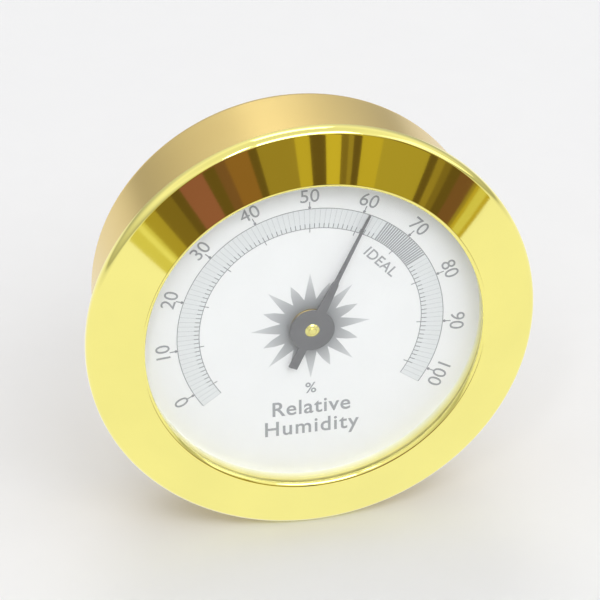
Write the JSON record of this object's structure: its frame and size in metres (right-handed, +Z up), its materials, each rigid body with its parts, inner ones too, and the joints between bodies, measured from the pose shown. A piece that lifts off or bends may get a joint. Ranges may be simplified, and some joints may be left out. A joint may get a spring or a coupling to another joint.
{
  "type": "dial hygrometer",
  "caption": "Round panel-mount dial hygrometer: coned bezel, glass, white humidity scale, pointer on a coil movement, vented drawn case with an adjuster at its back.",
  "frame": {"origin": "on the dial's axis, in the plane of the bezel's flat back, which lies on the panel's face", "axes": "+Y runs back along the dial's axis into the panel, so the dial looks along -Y; +Z is up, towards twelve o'clock"},
  "size_m": [0.05, 0.0161, 0.05],
  "materials": {
    "bezel_gilt": "polished, lacquered lemon gold",
    "window_glass": "clear, ground edge",
    "gasket": "soft, amber",
    "spacer_gilt": "bright turned",
    "dial_white": "white lacquer, printed in grey",
    "case_gilt": "satin, drawn sheet",
    "brass": "turned",
    "plate_brass": "brushed sheet",
    "steel": "turned",
    "spring_steel": "spring tempered",
    "coil_strip": "metal strip faced with paper",
    "pointer_grey": "grey enamel",
    "dial_ink": "grey printing ink on the dial"
  },
  "bodies": {
    "housing": {"bezel": "bezel_gilt", "crystal": "window_glass", "crystal_gasket": "gasket", "spacer_ring": "spacer_gilt", "dial_plate": "dial_white", "dial_feet": "brass", "retaining_ring": "spring_steel", "case_back": "case_gilt", "front_bush": "brass", "movement_plate": "plate_brass", "pillars": "brass", "rear_bridge": "plate_brass", "bridge_screws": "steel", "friction_washer": "spring_steel"},
    "adjuster": {"adjuster_stub": "brass", "adjuster_arm": "plate_brass", "coil_clip": "spring_steel", "humidity_coil": "coil_strip"},
    "pointer_assembly": {"arbor": "brass", "coil_collet": "brass", "pointer": "pointer_grey", "pointer_hub": "brass"}
  },
  "joints": [
    {"name": "calibration_turn", "type": "hinge", "parent": "housing", "child": "adjuster", "pos_m": [0, 0.0095, 0], "axis": [0, 1, 0], "range_deg": [-70, 70]},
    {"name": "pointer_swing", "type": "hinge", "parent": "adjuster", "child": "pointer_assembly", "pos_m": [0, 0, 0], "axis": [0, 1, 0], "range_deg": [-144.15, 93.35], "stiffness_Nm_per_rad": 0.00002, "deforming": ["humidity_coil"]}
  ]
}
